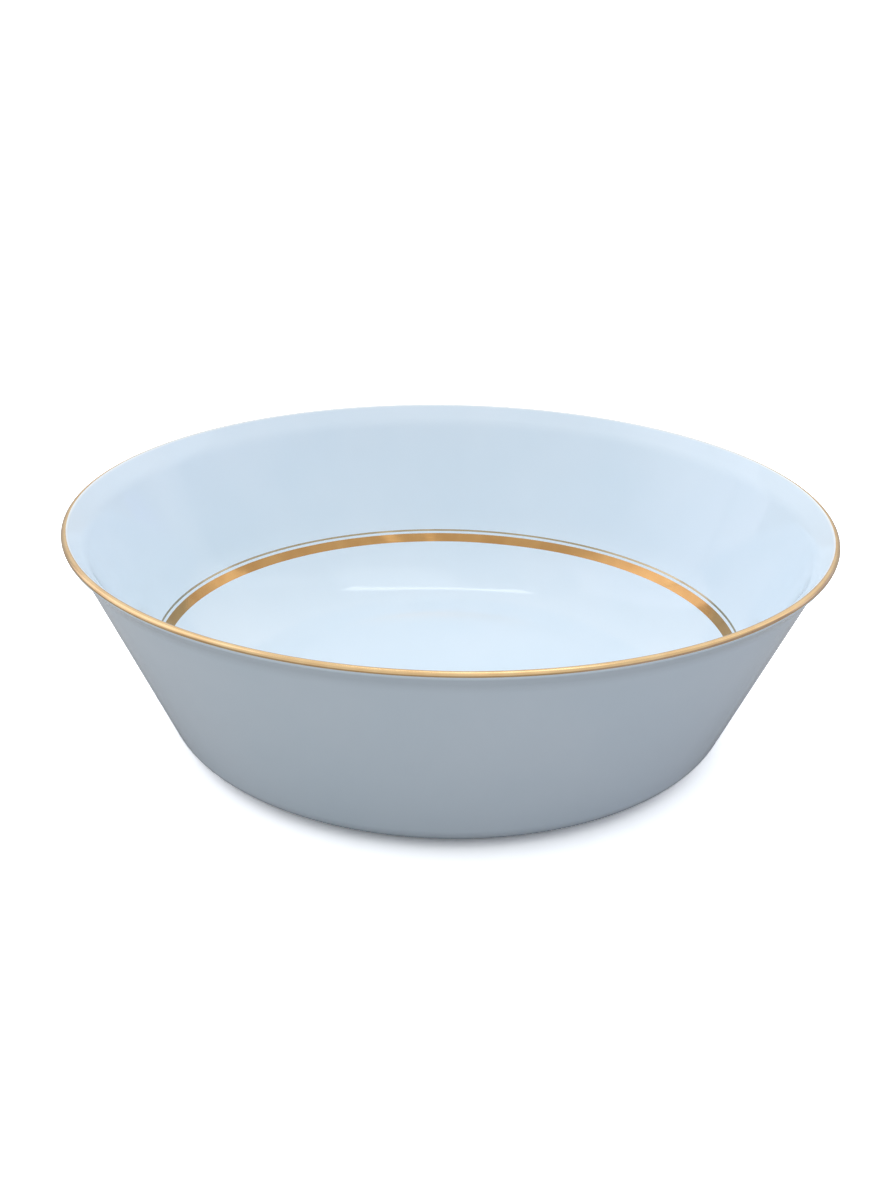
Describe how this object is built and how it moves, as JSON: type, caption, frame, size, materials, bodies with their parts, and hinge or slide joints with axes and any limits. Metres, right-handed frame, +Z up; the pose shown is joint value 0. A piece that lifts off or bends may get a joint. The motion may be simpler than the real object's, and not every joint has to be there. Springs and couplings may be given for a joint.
{
  "type": "serving bowl",
  "caption": "Round straight-sided porcelain serving bowl with flared lip, low foot ring and gilded lines on the lip and round the well.",
  "frame": {"origin": "centre of the face of the foot ring, on the surface that the bowl stands on", "axes": "+Z up along the bowl's axis; the bowl is round, so X and Y are free"},
  "size_m": [0.25, 0.25, 0.074],
  "materials": {
    "fired_porcelain": "unglazed, dense and smooth matt, showing only on the face of the foot ring",
    "porcelain_glaze": "high gloss, faintly blue white glaze",
    "bright_gold": "bright fired gilding with faint brush marks"
  },
  "bodies": {
    "root": {"porcelain_body": "fired_porcelain", "main_glaze": "porcelain_glaze", "recess_glaze": "porcelain_glaze", "lip_gold_line": "bright_gold", "well_wide_gold_line": "bright_gold", "well_fine_gold_line": "bright_gold"}
  },
  "joints": []
}
